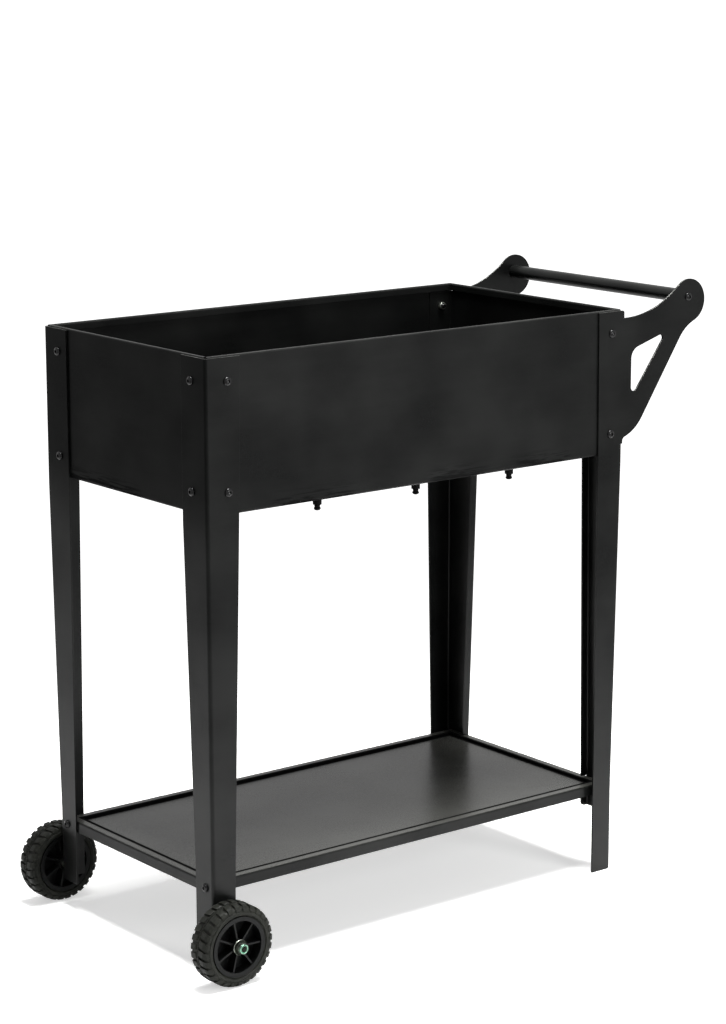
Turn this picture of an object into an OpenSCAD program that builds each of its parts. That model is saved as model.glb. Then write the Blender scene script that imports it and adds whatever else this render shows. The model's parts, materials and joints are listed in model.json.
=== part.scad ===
// Wheeled raised planter: a sheet-steel trough on four folded legs, with a tray shelf
// below it, two wheels at one end and a lifting handle at the other.
// X runs along the trough, with the wheels at -X and the handle at +X.
// Y is the depth, with the front at -Y. Z is up from the floor.
// The origin is on the floor, under the middle of the whole outline. Sizes are in mm.

/* [Trough] */
// length over the leg plates
trough_length = 698; // [560:1:860]
// width over the leg plates
trough_width = 370; // [310:1:460]
// height of the trough wall, rim to underside
trough_depth = 200; // [150:1:260]
// sheet thickness of the trough
trough_sheet = 1.2; // [0.8:0.1:2]
// how far the rim stands above the tops of the legs
rim_rise = 2; // [0:0.5:6]
// outside radius of the rolled rim
rim_radius = 2.6; // [2.2:0.1:4]
// how far the rolled rim turns back down
rim_return = 10; // [7:0.5:16]
// width of the ledge the floor sheet rests on
ledge_width = 11.5; // [8:0.5:13]

/* [Legs] */
// height of the leg tops above the floor
leg_height = 800; // [720:1:900]
// sheet thickness of the legs and handle arms
leg_sheet = 2.5; // [1.5:0.1:3]
// outside radius of the fold in the legs
leg_fold = 4.5; // [3.5:0.1:6]
// how far each leg leans in towards its foot, in both directions
leg_lean = 4.8; // [0:0.1:8]
// height below which the legs stand upright again
lean_foot = 132; // [128:1:200]
// wheel legs: width of the long-side flange at the top
wheel_leg_face_top = 52; // [46:0.5:60]
// wheel legs: width of the end flange beside the trough
wheel_leg_end_top = 53; // [46:0.5:60]
// handle legs: width of the long-side flange at the top
handle_leg_face_top = 46.5; // [42:0.5:56]
// handle legs: width of the end flange just under the trough
handle_leg_end_top = 68; // [56:0.5:76]
// handle legs: width of the end flange where its wide part stops
handle_leg_end_low = 54; // [46:0.5:60]
// width of both flanges at the foot
leg_foot_width = 39.5; // [36:0.5:46]
// width of the return lip on the wide end flanges
leg_lip = 13; // [8:0.5:18]
// height where the wide part of the handle legs stops
wide_flange_low = 83; // [60:1:100]
// height of the lower end of the wheel legs
wheel_leg_low = 37; // [30:1:42]

/* [Handle] */
// distance of the handle tube beyond the trough
handle_reach = 121; // [100:1:150]
// height of the handle tube above the leg tops
handle_rise = 9; // [0:0.5:24]
// outside radius of the handle tube
handle_radius = 9.5; // [8:0.5:12]
// wall of the handle tube
handle_wall = 1.4; // [1:0.1:2]
// radius of the round end of each handle arm
arm_end_radius = 30.5; // [24:0.5:34]

/* [Shelf] */
// height of the shelf rim
shelf_height = 126; // [118:1:128]
// depth of the shelf skirt
shelf_skirt = 15; // [12:0.5:24]
// how far the shelf stands back from the long sides
shelf_inset = 15; // [11:0.5:16]
// width of the raised rim around the shelf deck
shelf_rim = 16; // [10:0.5:24]
// how far the deck lies below the rim
shelf_recess = 3; // [1:0.5:5]
// sheet thickness of the shelf
shelf_sheet = 1.2; // [0.8:0.1:2]

/* [Wheels] */
// outside radius of the tyres
wheel_radius = 54; // [48:0.5:58]
// width of the wheels
wheel_width = 36; // [28:0.5:44]
// distance of the axles in from the wheel end of the trough
axle_inset = 15; // [14.5:0.5:22]
// gap between the long side of the trough and each wheel
wheel_gap = 2; // [1:0.5:6]
// radius of the axle bolts
axle_radius = 4; // [3.5:0.1:4.5]
// running clearance of each hub on its axle bolt
axle_play = 0.05; // [0.02:0.01:0.09]
// number of ribs in each hub
hub_ribs = 7; // [5:1:9]
// number of tread blocks on each shoulder of a tyre
tread_blocks = 28; // [20:1:34]
// how far the tread blocks stand out of the tyre
tread_depth = 2.6; // [1.5:0.1:3.5]

/* [Drains] */
// distance between drains along the trough
drain_pitch = 162; // [120:1:200]
// distance of the drains from the long front side
drain_inset = 23; // [22:0.5:60]

/* [Hidden] */
$fn = 48;
// paint film left between pieces that are bolted together
film = 0.1;
// gap kept between a moving piece and its neighbour
slack = 0.3;
// bolts of the trough, shelf and handle
bolt_radius = 2.95;
bolt_hole = 3.3;
bolt_head_radius = 5.8;
bolt_head_height = 3.4;
bolt_nut_radius = 5.75;
bolt_nut_height = 4.8;
// outside radius of the folds in the trough
trough_fold = 3;
// places of the trough bolts, from the corner of the trough and from its rim and underside
bolt_inset = 32.5;
bolt_inset_handle = 22.5;
bolt_below_rim = 32;
bolt_above_underside = 29;
shelf_bolt_inset = 21.5;

rim_height = leg_height + rim_rise;
underside = rim_height - trough_depth;
// height above which the legs stand upright, just under the trough
lean_top = underside - 12;
// inner faces of the leg flanges beside the trough, from the middle of the trough
wall_x = trough_length / 2 - leg_sheet - film;
wall_y = trough_width / 2 - leg_sheet - film;
// the long walls stop at the round inside of the folds in the legs
long_wall_x = wall_x - leg_fold + leg_sheet;
// the end walls stand between the long walls
end_wall_y = wall_y - trough_sheet - film;
rim_width = 2 * rim_radius;
ledge_level = underside + trough_sheet + film;
floor_level = ledge_level + trough_sheet + film;
tab_reach = bolt_inset + 9;
upper_bolt = rim_height - bolt_below_rim;
lower_bolt = underside + bolt_above_underside;
shelf_x = trough_length / 2 - leg_lean - leg_sheet - film;
shelf_y = trough_width / 2 - shelf_inset;
shelf_bolt_height = shelf_height - shelf_skirt / 2;
wheel_y = trough_width / 2 + wheel_gap;
flange_y = trough_width / 2 - leg_lean;
axle_x = axle_inset - trough_length / 2;
handle_x = trough_length / 2 + handle_reach;
handle_z = leg_height + handle_rise;
arm_centre = [handle_reach + 1.5, handle_rise - 5.5];
arm_root = underside + 13;
arm_drop = leg_height - arm_root;
hub_radius = wheel_radius * 0.73;
recess_radius = wheel_radius * 0.63;
boss_radius = axle_radius + 5.5;
// height of the hexagon of an axle nut, wall of its collar, and outside radius of the ring in it
nut_seat = 5.6;
nut_collar = 1.2;
lock_ring_radius = axle_radius + 0.95;
shift_x = (axle_x - wheel_radius + handle_x + 1.5 + arm_end_radius) / -2;

painted = [0.07, 0.07, 0.075];
zinc = [0.72, 0.73, 0.70];
black_plastic = [0.05, 0.05, 0.05];
black_rubber = [0.08, 0.08, 0.08];
green_nylon = [0.1, 0.45, 0.25];

// everything is drawn from the middle of the trough, then moved to the shared origin
module placed(tint) {
  color(tint) translate([shift_x, 0, 0]) children();
}

// leaves what is drawn in front where it is, or mirrors it to the back for a side of 1
module on_side(side) {
  mirror([0, side > 0 ? 1 : 0, 0]) children();
}

// a flat profile in X and Z, given a thickness from y to y + depth
module upright(y, depth) {
  translate([0, y + depth, 0]) rotate([90, 0, 0]) linear_extrude(depth) children();
}

// a flat profile in Y and Z, given a length from x to x + depth
module endwise(x, depth) {
  translate([x, 0, 0]) rotate([90, 0, 90]) linear_extrude(depth) children();
}

// a quarter of a ring in the lower left corner, for a fold
module quarter_fold(radius, sheet) {
  intersection() {
    difference() {
      circle(radius);
      circle(radius - sheet);
    }
    translate([-radius, -radius]) square(radius);
  }
}

// section of a trough wall: distance inwards and height
module wall_section(low) {
  sheet = trough_sheet;
  fold = trough_fold;
  translate([0, low + fold]) square([sheet, rim_height - rim_radius - low - fold]);
  translate([fold, low + fold]) quarter_fold(fold, sheet);
  translate([fold, low]) square([ledge_width - fold, sheet]);
  translate([rim_radius, rim_height - rim_radius]) intersection() {
    difference() {
      circle(rim_radius);
      circle(rim_radius - sheet);
    }
    translate([-rim_radius, 0]) square([rim_width, rim_radius]);
  }
  translate([rim_width - sheet, rim_height - rim_return])
    square([sheet, rim_return - rim_radius]);
}

module long_wall() {
  difference() {
    translate([0, -wall_y, 0]) endwise(-long_wall_x, 2 * long_wall_x) wall_section(underside);
    for (z = [lower_bolt, upper_bolt]) {
      translate([-trough_length / 2 + bolt_inset, -wall_y, z]) cross_hole(bolt_hole);
      translate([trough_length / 2 - bolt_inset_handle, -wall_y, z]) cross_hole(bolt_hole);
    }
  }
}

// a hole along Y and a hole along X, long enough for the sheets they pass
module cross_hole(radius) {
  rotate([90, 0, 0]) cylinder(r = radius, h = 16, center = true);
}

module end_hole(radius) {
  rotate([0, 90, 0]) cylinder(r = radius, h = 16, center = true);
}

// an end wall as seen at -X: a plate with a tab folded in at each side
module end_wall(bolt_x, end_bolts) {
  notch = wall_y - rim_width - slack;
  tab_low = floor_level + trough_sheet + 0.5;
  tab_high = rim_height - rim_return - 1.5;
  difference() {
    translate([-wall_x, 0, 0]) {
      translate([0, end_wall_y, 0]) rotate([90, 0, 0]) linear_extrude(2 * end_wall_y)
        wall_section(ledge_level);
      for (side = [-1, 1]) on_side(side)
        translate([0, -end_wall_y, tab_low]) {
          linear_extrude(tab_high - tab_low) {
            translate([trough_fold, trough_fold]) quarter_fold(trough_fold, trough_sheet);
            translate([trough_fold, 0]) square([tab_reach - trough_fold, trough_sheet]);
          }
        }
    }
    // the rolled rims of the long walls pass over the corners
    for (side = [-1, 1]) on_side(side) {
      translate([-wall_x - 1, -end_wall_y - 1, tab_high])
        cube([30, end_wall_y - notch + 1, rim_height]);
      translate([-wall_x - 1, -end_wall_y - 1, tab_low])
        linear_extrude(tab_high - tab_low + 1) fold_relief();
      translate([-wall_x - 1, -end_wall_y - 1, underside - 1])
        cube([30, 4, tab_low - underside + 1]);
      for (z = [lower_bolt, upper_bolt]) {
        translate([-trough_length / 2 + bolt_x, -end_wall_y, z]) cross_hole(bolt_hole);
        if (end_bolts)
          translate([-wall_x, -trough_width / 2 + bolt_inset, z]) end_hole(bolt_hole);
      }
    }
  }
}

// takes the square outer corner off the fold between an end wall and its tab
module fold_relief() {
  difference() {
    square(trough_fold + 1);
    translate([trough_fold + 1, trough_fold + 1]) circle(trough_fold);
  }
}

// lean of a leg at a height
function lean(z) = leg_lean * max(0, min(1, (lean_top - z) / (lean_top - lean_foot)));

function arc(centre, radius, from, to, steps) =
  [for (i = [0 : steps]) let (a = from + (to - from) * i / steps)
    centre + radius * [cos(a), sin(a)]];

// section of a folded leg at one height, from the corner of the trough: the flange along X
// reaches face, the one along Y reaches end, and a lip may turn back in from there;
// depth is 0 for the outer skin and leg_sheet for the inner one
function leg_chain(z, face, end, lip, depth) =
  let (k = lean(z), r = leg_fold, near = k + r, far = end - r, q = r - depth)
  concat(
    [[face, k + depth]],
    arc([near, near], q, 270, 180, 5),
    lip > 0
      ? concat(arc([near, far], q, 180, 90, 5), [[k + lip, end - depth]])
      : [[k + depth, end]]);

// a solid through sections at several heights, as one folded sheet
module leg_loft(heights, faces, ends, lip) {
  points = [for (i = [0 : len(heights) - 1], depth = [0, leg_sheet])
    each [for (p = leg_chain(heights[i], faces[i], ends[i], lip, depth))
      [p[0], p[1], heights[i]]]];
  n = len(leg_chain(heights[0], faces[0], ends[0], lip, 0));
  last = 2 * n * (len(heights) - 1);
  lower = [for (j = [0 : n - 2]) [j, n + j, n + j + 1, j + 1]];
  upper = [for (j = [0 : n - 2]) [last + j, last + j + 1, last + n + j + 1, last + n + j]];
  skins = [for (base = [0 : 2 * n : last - 1]) each concat(
    [for (j = [0 : n - 2]) [base + j, base + j + 1, base + 2 * n + j + 1, base + 2 * n + j]],
    [for (j = [n : 2 * n - 2]) [base + j, base + 2 * n + j, base + 2 * n + j + 1, base + j + 1]],
    [[base, base + 2 * n, base + 3 * n, base + n],
      [base + n - 1, base + 2 * n - 1, base + 4 * n - 1, base + 3 * n - 1]])];
  polyhedron(points, concat(lower, upper, skins), convexity = 6);
}

// width of a flange at a height, between a value at the trough and one at the foot
function taper(z, top, foot) = foot + (top - foot) * max(0, min(1, (z - 100) / (leg_height - 100)));
function end_taper(z, top, low, low_z) =
  low + (top - low) * max(0, min(1, (z - low_z) / (lean_top - low_z)));

// moves a leg drawn at the corner to its place: ends is -1 at the wheels, sides is -1 in front
module at_corner(ends, sides) {
  translate([ends * trough_length / 2, sides * trough_width / 2, 0])
    mirror([ends > 0 ? 1 : 0, 0, 0]) on_side(sides) children();
}

// a leg beside a wheel, its corner at the origin and its flanges along +X and +Y
module wheel_leg() {
  heights = [wheel_leg_low, lean_foot, lean_top, leg_height];
  faces = [for (z = heights) taper(z, wheel_leg_face_top, leg_foot_width)];
  ends = [for (z = heights) end_taper(z, wheel_leg_end_top, leg_foot_width + 3, lean_foot)];
  difference() {
    leg_loft(heights, faces, ends, 0);
    for (z = [lower_bolt, upper_bolt]) {
      translate([bolt_inset, 0, z]) cross_hole(bolt_hole);
      translate([0, bolt_inset, z]) end_hole(bolt_hole);
    }
    translate([leg_lean, shelf_bolt_inset, shelf_bolt_height]) end_hole(bolt_hole);
    translate([axle_inset, leg_lean, wheel_radius]) cross_hole(axle_radius + film);
    // round lower corner of the end flange
    translate([0, leg_lean, wheel_leg_low]) endwise(-1, leg_lean + leg_sheet + 1.5) difference() {
      translate([-1, -1]) square(10);
      translate([9, 9]) circle(9);
    }
  }
}

// outline of a handle arm: distance beyond the trough and height above the leg tops
module arm_outline() {
  c = arm_centre;
  r = arm_end_radius;
  // upper edge: a hollow arc that leaves the leg level and touches the round end
  notch = -10.5;
  start = 4;
  dx = c[0] - start;
  dz = c[1] - notch;
  hollow = (dx * dx + dz * dz - r * r) / (2 * (dz + r));
  touch = atan2(notch + hollow - c[1], start - c[0]);
  // lower edge: a straight line, with a hollow fillet below the round end
  low = [36, 33.5 - arm_drop];
  high = [handle_reach - 17, -0.273 * arm_drop];
  along = towards(low, high);
  out = [along[1], -along[0]];
  facing = heading(out);
  fillet = 60;
  inside = (low - c) * out;
  run = sqrt(pow(r + fillet, 2) - pow(inside + fillet, 2));
  fillet_centre = c + (inside + fillet) * out - run * along;
  turn = heading(c - fillet_centre);
  // a round belly at the root of the arm, and a small fillet onto the leg
  belly = 62;
  belly_centre = low - belly * out;
  small = 6;
  root = belly_centre[1] - sqrt(pow(belly + small, 2) - pow(small - belly_centre[0], 2));
  join = heading(belly_centre - [small, root]);
  polygon(concat(
    [[-leg_fold, root]],
    arc([small, root], small, 180, join, 5),
    arc(belly_centre, belly, join - 180, facing, 14),
    arc(fillet_centre, fillet, facing + 180, turn, 12),
    arc(c, r, turn - 180, touch, 40),
    arc([start, notch + hollow], hollow, touch - 180, -90, 20),
    [[-leg_fold, notch]]));
}

function heading(v) = atan2(v[1], v[0]);
function corner_at(corners, i) = let (c = corners[i % len(corners)]) [c[0], c[1]];
function towards(from, to) = (to - from) / norm(to - from);

// an opening with straight sides and round corners: each row is a corner and its radius
module rounded_window(corners) {
  n = len(corners);
  polygon([for (i = [0 : n - 1]) each let (
    p = corner_at(corners, i),
    a = towards(p, corner_at(corners, i + n - 1)), b = towards(p, corner_at(corners, i + 1)),
    half = acos(a * b) / 2,
    radius = corners[i][2],
    centre = p + radius / sin(half) * (a + b) / norm(a + b),
    from = heading(p + radius / tan(half) * a - centre),
    to = heading(p + radius / tan(half) * b - centre),
    turn = (to - from + 540) % 360 - 180)
    arc(centre, radius, from, from + turn, 10)]);
}

module arm_window() {
  rounded_window([[14.5, -0.301 * arm_drop, 17], [14.5, -0.677 * arm_drop, 5.8],
    [0.672 * handle_reach, -0.192 * arm_drop, 4.8]]);
}

// a leg with its handle arm, its corner at the origin and its flanges along +X and +Y;
// the arm reaches along -X
module handle_leg() {
  top = arm_root + 1;
  lip_top = underside - 2;
  heights = [0, lean_foot, lean_top, top];
  faces = [for (z = heights) taper(z, handle_leg_face_top, leg_foot_width)];
  ends = [for (z = heights) end_taper(z, handle_leg_end_top, handle_leg_end_low, wide_flange_low)];
  difference() {
    union() {
      leg_loft(heights, faces, ends, leg_lip);
      upright(0, leg_sheet) {
        difference() {
          polygon([[leg_fold, lean_top], [taper(lean_top, handle_leg_face_top, leg_foot_width), lean_top],
            [handle_leg_face_top, leg_height], [0, leg_height], [0, arm_root], [leg_fold, arm_root]]);
          translate([0, leg_height - 3]) difference() {
            translate([-1, 0]) square(4);
            translate([3, 0]) circle(3);
          }
        }
        translate([0, leg_height]) mirror([1, 0]) difference() {
          arm_outline();
          arm_window();
        }
      }
    }
    // the lip stops under the trough, and a notch in it lets the shelf through
    translate([leg_sheet + film / 2, leg_foot_width, lip_top]) cube([40, 60, 60]);
    translate([leg_lean + leg_sheet, handle_leg_end_low - 12, shelf_height - shelf_skirt - 1])
      cube([40, 40, shelf_skirt + 2]);
    // the wide part of the end flange stops above the foot, with a fillet
    endwise(-1, 60) translate([leg_foot_width - 0.5, 0])
      polygon(concat([[0, -1], [60, -1], [60, wide_flange_low]],
        arc([4, wide_flange_low - 4], 4, 90, 180, 6)));
    // the lip has a round lower corner
    upright(handle_leg_end_low - leg_fold - 6, 40) translate([leg_lean + leg_lip - 6, wide_flange_low + 6])
      difference() {
        translate([0, -7]) square(7);
        circle(6);
      }
    for (z = [lower_bolt, upper_bolt])
      translate([bolt_inset_handle, 0, z]) cross_hole(bolt_hole);
    translate([leg_lean, shelf_bolt_inset, shelf_bolt_height]) end_hole(bolt_hole);
    translate([-handle_reach, 0, handle_z]) cross_hole(bolt_hole);
    // round outer corner of the foot
    upright(-1, leg_lean + leg_sheet + 2) translate([leg_lean, 0]) difference() {
      translate([-1, -1]) square(8);
      translate([7, 7]) circle(7);
    }
  }
}

// a block with its upper edges rounded on all four sides
module round_topped(x, y, low, high, radius) {
  intersection() {
    upright(-y, 2 * y) round_topped_profile(x, low, high, radius);
    endwise(-x, 2 * x) round_topped_profile(y, low, high, radius);
  }
}

module round_topped_profile(half, low, high, radius) {
  translate([-half, low]) square([2 * half, high - low - radius]);
  translate([-half + radius, low]) square([2 * half - 2 * radius, high - low]);
  for (side = [-1, 1]) translate([side * (half - radius), high - radius]) circle(radius);
}

// a domed screw head with a hexagon socket and a shank, pointing along -Z from its seat
module button_bolt(length, shank = bolt_radius, head = bolt_head_radius, tall = bolt_head_height) {
  difference() {
    union() {
      cylinder(r = head, h = tall * 0.35);
      translate([0, 0, tall * 0.35]) cylinder(r1 = head, r2 = head * 0.82, h = tall * 0.35);
      translate([0, 0, tall * 0.7]) cylinder(r1 = head * 0.82, r2 = head * 0.48, h = tall * 0.3);
    }
    translate([0, 0, tall * 0.4]) cylinder(r = 2.3, h = tall, $fn = 6);
  }
  translate([0, 0, -length]) cylinder(r = shank, h = length + 0.1);
}

module hex_nut(bore, radius, height) {
  difference() {
    intersection() {
      cylinder(r = radius, h = height, $fn = 6);
      cylinder(r = radius * 0.96, h = height);
    }
    translate([0, 0, -1]) cylinder(r = bore, h = height + 2);
  }
}

// an axle nut with a rolled collar that holds its locking ring
module lock_nut() {
  hex_nut(axle_radius + film, axle_radius + 3.5, nut_seat);
  rotate_extrude() translate([lock_ring_radius + film, nut_seat - 0.6]) {
    square([nut_collar, 2.2]);
    translate([nut_collar / 2, 2.2]) circle(nut_collar / 2);
  }
}

// puts a child at each trough bolt, its +Z pointing out of the trough from the leg plate
module at_trough_bolts() {
  for (side = [-1, 1], z = [lower_bolt, upper_bolt]) {
    on_side(side) translate([-trough_length / 2 + bolt_inset, -trough_width / 2, z])
      rotate([90, 0, 0]) children();
    on_side(side) translate([trough_length / 2 - bolt_inset_handle, -trough_width / 2, z])
      rotate([90, 0, 0]) children();
    translate([-trough_length / 2, side * (trough_width / 2 - bolt_inset), z])
      rotate([0, -90, 0]) children();
  }
}

// nuts seat on the tabs of the end walls, or on the wheel end wall itself
module at_trough_nuts() {
  for (side = [-1, 1], z = [lower_bolt, upper_bolt]) {
    for (x = [-trough_length / 2 + bolt_inset, trough_length / 2 - bolt_inset_handle])
      on_side(side) translate([x, -end_wall_y + trough_sheet + film, z])
        rotate([-90, 0, 0]) children();
    translate([-wall_x + trough_sheet + film, side * (trough_width / 2 - bolt_inset), z])
      rotate([0, 90, 0]) children();
  }
}

// puts a child at each shelf bolt, its +Z pointing outwards from a distance along X
module at_shelf_bolts(x) {
  for (ends = [-1, 1], sides = [-1, 1])
    translate([ends * x, sides * (trough_width / 2 - shelf_bolt_inset), shelf_bolt_height])
      rotate([0, ends * 90, 0]) children();
}

// puts a child on both axles, its +Z pointing outwards from a distance along Y
module at_axles(y) {
  for (side = [-1, 1])
    translate([axle_x, side * y, wheel_radius]) rotate([side * -90, 0, 0]) children();
}

module at_drain(i) {
  translate([(i - 2) * drain_pitch, -trough_width / 2 + drain_inset, 0]) children();
}

// one wheel centre lying on its inner face: rim ring, web, ribs and boss
module hub() {
  difference() {
    union() {
      rotate_extrude() {
        // rim ring that holds the tyre, and a web half way through
        translate([recess_radius, 0.6]) square([hub_radius - recess_radius, wheel_width - 1.2]);
        translate([boss_radius - 1, wheel_width / 2 - 1.5]) square([recess_radius - boss_radius + 2, 3]);
      }
      for (i = [0 : hub_ribs - 1]) rotate(i * 360 / hub_ribs - 1.5)
        translate([boss_radius - 1, -1.1, 2.5]) cube([recess_radius - boss_radius + 2, 2.2, wheel_width - 5]);
      cylinder(r = boss_radius, h = wheel_width);
    }
    translate([0, 0, -1]) cylinder(r = axle_radius + axle_play, h = wheel_width + 2);
  }
}

// one tyre lying on its inner face: a smooth body with a bead at the hub, a raised ring on
// each side and a thin rib round the middle, and tread blocks on both shoulders
module tyre() {
  w = wheel_width;
  r = wheel_radius;
  body = r - tread_depth;
  half_profile = [[hub_radius + film, 2.4], [hub_radius + 1.7, 1.5], [hub_radius + 2.5, 0],
    [r - 8.6, 0], [r - 7.4, 1.3], [body - 1.6, 2.2], [body, 5], [body, w / 2 - 1.5],
    [r - 0.8, w / 2 - 0.7]];
  rotate_extrude($fn = 96) polygon(concat(half_profile,
    [for (i = [len(half_profile) - 1 : -1 : 0]) [half_profile[i][0], w - half_profile[i][1]]]));
  for (side = [0, 1]) translate([0, 0, side * w]) mirror([0, 0, side]) difference() {
    rotate_extrude($fn = 96) polygon([[r - 8, 1.6], [r - 7, 0.5], [r - 4.2, 0.9], [r - 1.2, 3.2],
      [r, 6.5], [r, w / 2 - 4], [r - 1, w / 2 - 2.4], [body - 1, w / 2 - 2.4], [body - 1, 6]]);
    // gaps between the tread blocks, slanted, and staggered between the two shoulders
    for (i = [0 : tread_blocks - 1])
      rotate((i + side / 2) * 360 / tread_blocks) translate([r - 9, 0, w / 4]) rotate([10, 0, 0])
        translate([0, -2.1, -w / 2]) cube([12, 4.2, w]);
  }
}

// drain fitting: a flange inside the trough and a short spout through the floor
module drain_fitting() {
  top = floor_level + trough_sheet + film;
  difference() {
    union() {
      translate([0, 0, top + 1.5]) cylinder(r = 9, h = 1.6);
      translate([0, 0, underside - 9.7]) cylinder(r = 5, h = top + 2 - underside + 9.7);
    }
    translate([0, 0, underside - 11]) cylinder(r = 3.2, h = 30);
  }
}

module drain_nut() {
  height = floor_level - film - underside + 9.5;
  difference() {
    union() {
      translate([0, 0, underside - 9.5]) cylinder(r = 5.8, h = height);
      translate([0, 0, underside - 3]) cylinder(r = 7, h = height - 6.5, $fn = 6);
    }
    translate([0, 0, underside - 11]) cylinder(r = 5 + film, h = 30);
  }
}

// pull-out plug below a drain spout
module drain_cap() {
  base = underside - 9.7 - slack;
  translate([0, 0, base - 3]) cylinder(r = 3.8, h = 3);
  translate([0, 0, base - 5.6]) cylinder(r = 4.6, h = 2.8);
  translate([0, 0, base - 7.4]) cylinder(r1 = 2.8, r2 = 4.6, h = 1.8);
  translate([0, 0, base - 0.1]) cylinder(r = 3.15, h = 8);
}

module panel_front() placed(painted) long_wall();

module panel_back() placed(painted) mirror([0, 1, 0]) long_wall();

module panel_wheel_end() placed(painted) end_wall(bolt_inset, true);

module panel_handle_end() placed(painted) mirror([1, 0, 0]) end_wall(bolt_inset_handle, false);

module trough_floor() placed(painted) {
  x = wall_x - trough_fold - film;
  y = end_wall_y - trough_sheet - 0.5;
  difference() {
    translate([-x, -y, floor_level]) cube([2 * x, 2 * y, trough_sheet]);
    for (i = [1 : 3]) at_drain(i) translate([0, 0, floor_level - 1]) cylinder(r = 5.3, h = 4);
  }
}

module leg_front_wheel() placed(painted) at_corner(-1, -1) wheel_leg();

module leg_back_wheel() placed(painted) at_corner(-1, 1) wheel_leg();

module leg_front_handle() placed(painted) at_corner(1, -1) handle_leg();

module leg_back_handle() placed(painted) at_corner(1, 1) handle_leg();

// tray with a skirt, a raised rim and a deck sunk a little below it
module shelf() placed(painted) {
  t = shelf_sheet;
  low = shelf_height - shelf_skirt;
  deck = shelf_height - shelf_recess;
  inner_x = shelf_x - shelf_rim;
  inner_y = shelf_y - shelf_rim;
  difference() {
    union() {
      difference() {
        round_topped(shelf_x, shelf_y, low, shelf_height, 2.4);
        round_topped(shelf_x - t, shelf_y - t, low - 1, shelf_height - t, 1.2);
      }
      translate([-inner_x - t, -inner_y - t, deck - t])
        cube([2 * (inner_x + t), 2 * (inner_y + t), shelf_recess + t - 0.4]);
    }
    translate([-inner_x, -inner_y, deck]) cube([2 * inner_x, 2 * inner_y, shelf_recess + 1]);
    at_shelf_bolts(shelf_x) cylinder(r = bolt_hole, h = 10, center = true);
  }
}

module handle_tube() placed(painted) {
  half = wall_y;
  translate([handle_x, half, handle_z]) rotate([90, 0, 0]) difference() {
    cylinder(r = handle_radius, h = 2 * half);
    translate([0, 0, -1]) cylinder(r = handle_radius - handle_wall, h = 2 * half + 2);
  }
}

module handle_plugs() placed(black_plastic) {
  for (side = [-1, 1]) translate([handle_x, side * wall_y, handle_z])
    rotate([side * 90, 0, 0]) difference() {
      cylinder(r = handle_radius - handle_wall - film, h = 24);
      translate([0, 0, -1]) cylinder(r = bolt_radius + film, h = 26);
    }
}

module handle_bolts() placed(zinc) {
  for (side = [-1, 1]) translate([handle_x, side * trough_width / 2, handle_z])
    rotate([side * -90, 0, 0]) button_bolt(22);
}

module trough_bolts() placed(zinc) at_trough_bolts() button_bolt(13);

module trough_nuts() placed(zinc)
  at_trough_nuts() hex_nut(bolt_radius + film, bolt_nut_radius, bolt_nut_height);

module shelf_bolts() placed(zinc)
  at_shelf_bolts(trough_length / 2 - leg_lean) button_bolt(11);

module shelf_nuts() placed(zinc)
  at_shelf_bolts(shelf_x - shelf_sheet - film - bolt_nut_height)
    hex_nut(bolt_radius + film, bolt_nut_radius, bolt_nut_height);

module hub_front() placed(black_plastic)
  translate([axle_x, -wheel_y, wheel_radius]) rotate([90, 0, 0]) hub();

module hub_back() placed(black_plastic)
  translate([axle_x, wheel_y, wheel_radius]) rotate([-90, 0, 0]) hub();

module tyre_front() placed(black_rubber)
  translate([axle_x, -wheel_y, wheel_radius]) rotate([90, 0, 0]) tyre();

module tyre_back() placed(black_rubber)
  translate([axle_x, wheel_y, wheel_radius]) rotate([-90, 0, 0]) tyre();

// hexagon head inside the leg, shank out through the wheel
module axle_bolts() placed(zinc) {
  seat = flange_y - leg_sheet - film;
  at_axles(seat) {
    translate([0, 0, -1]) cylinder(r = axle_radius, h = wheel_y + wheel_width - seat + 10.6);
    translate([0, 0, -0.6]) cylinder(r = 5.8, h = 0.6);
    translate([0, 0, -5.3]) rotate(30) cylinder(r = 7.2, h = 4.8, $fn = 6);
  }
}

module axle_spacers() placed(zinc)
  at_axles(flange_y + film) difference() {
    cylinder(r = axle_radius + 2.4, h = wheel_y - flange_y - film - slack);
    translate([0, 0, -1]) cylinder(r = axle_radius + film, h = 20);
  }

module axle_washers() placed(zinc)
  at_axles(wheel_y + wheel_width + slack) difference() {
    cylinder(r = axle_radius + 6.2, h = 1.5);
    translate([0, 0, -1]) cylinder(r = axle_radius + film, h = 4);
  }

module axle_nuts() placed(zinc)
  at_axles(wheel_y + wheel_width + slack + 1.5 + film) lock_nut();

// nylon rings that grip the ends of the axle bolts
module axle_lock_rings() placed(green_nylon)
  at_axles(wheel_y + wheel_width + slack + 1.5 + 2 * film + nut_seat) difference() {
    cylinder(r = lock_ring_radius, h = 1.6);
    translate([0, 0, -1]) cylinder(r = axle_radius + film, h = 4);
  }

module drain_fittings() placed(black_plastic)
  for (i = [1 : 3]) at_drain(i) drain_fitting();

module drain_gaskets() placed(black_rubber)
  for (i = [1 : 3]) at_drain(i) translate([0, 0, floor_level + trough_sheet + film]) difference() {
    cylinder(r = 8.6, h = 1.4);
    translate([0, 0, -1]) cylinder(r = 5 + film, h = 4);
  }

module drain_nuts() placed(black_plastic)
  for (i = [1 : 3]) at_drain(i) drain_nut();

module drain_cap_1() placed(black_plastic) at_drain(1) drain_cap();

module drain_cap_2() placed(black_plastic) at_drain(2) drain_cap();

module drain_cap_3() placed(black_plastic) at_drain(3) drain_cap();

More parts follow.
